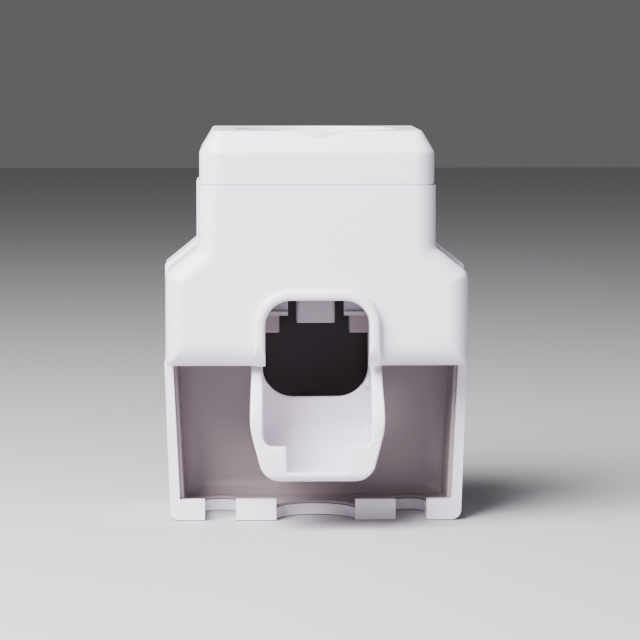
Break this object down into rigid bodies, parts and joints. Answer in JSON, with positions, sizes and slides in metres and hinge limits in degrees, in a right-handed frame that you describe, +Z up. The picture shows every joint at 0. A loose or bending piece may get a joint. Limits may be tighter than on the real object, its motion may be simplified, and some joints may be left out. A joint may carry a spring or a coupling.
{
  "type": "toothpaste dispenser",
  "caption": "Wall-mounted toothpaste dispenser: a push lever works a vacuum pump under a tube socket, over a toothbrush tray with a slotted floor.",
  "frame": {"origin": "centre of the adhesive pad's back face, on the wall", "axes": "+X to the viewer's right, +Y into the wall, +Z up"},
  "size_m": [0.0734, 0.0503, 0.0951],
  "materials": {
    "shell": "gloss",
    "pump_plastic": "satin",
    "liner": "satin",
    "bracket": "matte",
    "silicone": "matte",
    "seal": "matte",
    "steel": "satin",
    "foam": "matte"
  },
  "bodies": {
    "wall_bracket": {"wall_plate": "bracket", "adhesive_pad": "foam"},
    "dispenser_body": {"back_housing": "shell", "back_panel": "shell", "tray_liner": "liner", "liner_screws": "steel", "tube_sleeve": "silicone", "sleeve_retainer": "pump_plastic", "inlet_fitting": "pump_plastic", "inlet_valve": "silicone", "chamber_seal": "seal", "pump_chamber": "pump_plastic", "pump_screws": "steel", "fitting_screws": "steel", "pump_diaphragm": "silicone", "diaphragm_frame": "pump_plastic", "frame_screws": "steel", "return_spring": "steel", "outlet_valve": "silicone", "nozzle": "pump_plastic", "hinge_axle": "steel", "axle_clips": "steel"},
    "cover": {"front_cover": "shell", "lever_bumpers": "seal"},
    "collar": {"tube_collar": "shell"},
    "lever": {"push_lever": "shell"},
    "plunger": {"press_plate": "pump_plastic"}
  },
  "joints": [
    {"name": "housing_lift", "type": "slide", "parent": "wall_bracket", "child": "dispenser_body", "axis": [0, 0, 1], "range_m": [0, 0.008]},
    {"name": "cover_pull", "type": "slide", "parent": "dispenser_body", "child": "cover", "axis": [0, -1, 0], "range_m": [0, 0.03]},
    {"name": "collar_lift", "type": "slide", "parent": "dispenser_body", "child": "collar", "axis": [0, 0, 1], "range_m": [0, 0.025]},
    {"name": "lever_hinge", "type": "hinge", "parent": "dispenser_body", "child": "lever", "pos_m": [0, -0.0345, 0.0265], "axis": [1, 0, 0], "range_deg": [0, 12], "stiffness_Nm_per_rad": 0.3, "springref_deg": -5.73},
    {"name": "press_slide", "type": "slide", "parent": "dispenser_body", "child": "plunger", "axis": [0, 1, 0], "range_m": [0, 0.0029], "deforming": ["pump_diaphragm", "return_spring"]}
  ],
  "couplings": [
    {"joint": "press_slide", "follows": "lever_hinge", "m_per_rad": 0.01337}
  ]
}
